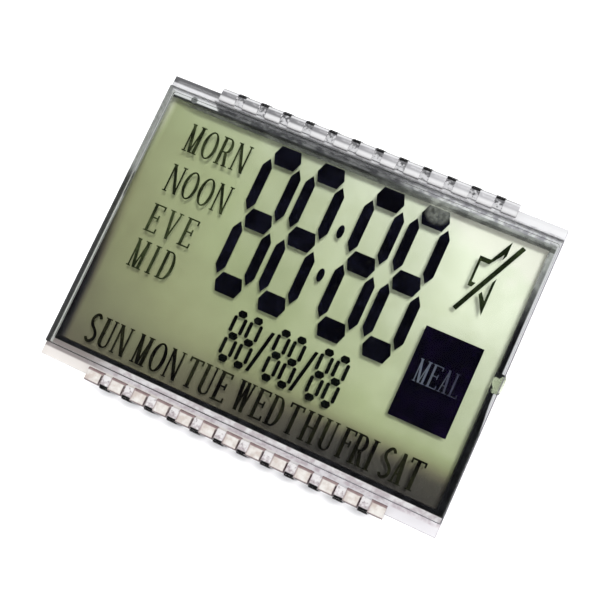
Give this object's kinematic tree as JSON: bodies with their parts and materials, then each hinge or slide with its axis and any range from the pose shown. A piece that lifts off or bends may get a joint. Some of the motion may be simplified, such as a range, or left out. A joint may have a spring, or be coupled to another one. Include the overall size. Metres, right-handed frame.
{
  "type": "segment lcd display",
  "caption": "Reflective segment display cell of bonded glass with clock, date and weekday segments, and clip-on pins under clear resin along both long edges.",
  "frame": {"origin": "middle of the rear glass seen from the front, in the plane of the pin tips that it stands on", "axes": "+X along the pin rows in the reading direction, +Y towards the upper row, +Z out of the viewing face"},
  "size_m": [0.043, 0.033, 0.0061],
  "materials": {
    "sheet_glass": "clear",
    "polarizer": "clear film",
    "reflector": "satin",
    "seal": "matt",
    "end_seal": "gloss",
    "conductive_dot": "matt",
    "liquid_crystal": "clear",
    "dark_segment": "dark",
    "tinned_pin": "tin plated",
    "clear_resin": "gloss"
  },
  "bodies": {
    "root": {"date_slashes": "dark_segment", "day_figures": "dark_segment", "end_seal_plug": "end_seal", "evening_legend": "dark_segment", "friday_legend": "dark_segment", "front_glass": "sheet_glass", "front_polarizer": "polarizer", "hour_tens_digit": "dark_segment", "hour_units_digit": "dark_segment", "liquid_crystal_film": "liquid_crystal", "lower_pin_01": "tinned_pin", "lower_pin_02": "tinned_pin", "lower_pin_03": "tinned_pin", "lower_pin_04": "tinned_pin", "lower_pin_05": "tinned_pin", "lower_pin_06": "tinned_pin", "lower_pin_07": "tinned_pin", "lower_pin_08": "tinned_pin", "lower_pin_09": "tinned_pin", "lower_pin_10": "tinned_pin", "lower_pin_11": "tinned_pin", "lower_pin_12": "tinned_pin", "lower_resin_bead": "clear_resin", "meal_block": "dark_segment", "midnight_legend": "dark_segment", "minute_tens_digit": "dark_segment", "minute_units_digit": "dark_segment", "monday_legend": "dark_segment", "month_figures": "dark_segment", "morning_legend": "dark_segment", "mute_symbol": "dark_segment", "noon_legend": "dark_segment", "perimeter_seal": "seal", "rear_glass": "sheet_glass", "rear_polarizer": "polarizer", "reflector_film": "reflector", "saturday_legend": "dark_segment", "sunday_legend": "dark_segment", "thursday_legend": "dark_segment", "time_colon": "dark_segment", "transfer_dot": "conductive_dot", "tuesday_legend": "dark_segment", "upper_pin_01": "tinned_pin", "upper_pin_02": "tinned_pin", "upper_pin_03": "tinned_pin", "upper_pin_04": "tinned_pin", "upper_pin_05": "tinned_pin", "upper_pin_06": "tinned_pin", "upper_pin_07": "tinned_pin", "upper_pin_08": "tinned_pin", "upper_pin_09": "tinned_pin", "upper_pin_10": "tinned_pin", "upper_pin_11": "tinned_pin", "upper_pin_12": "tinned_pin", "upper_resin_bead": "clear_resin", "wednesday_legend": "dark_segment", "year_figures": "dark_segment"}
  },
  "joints": []
}
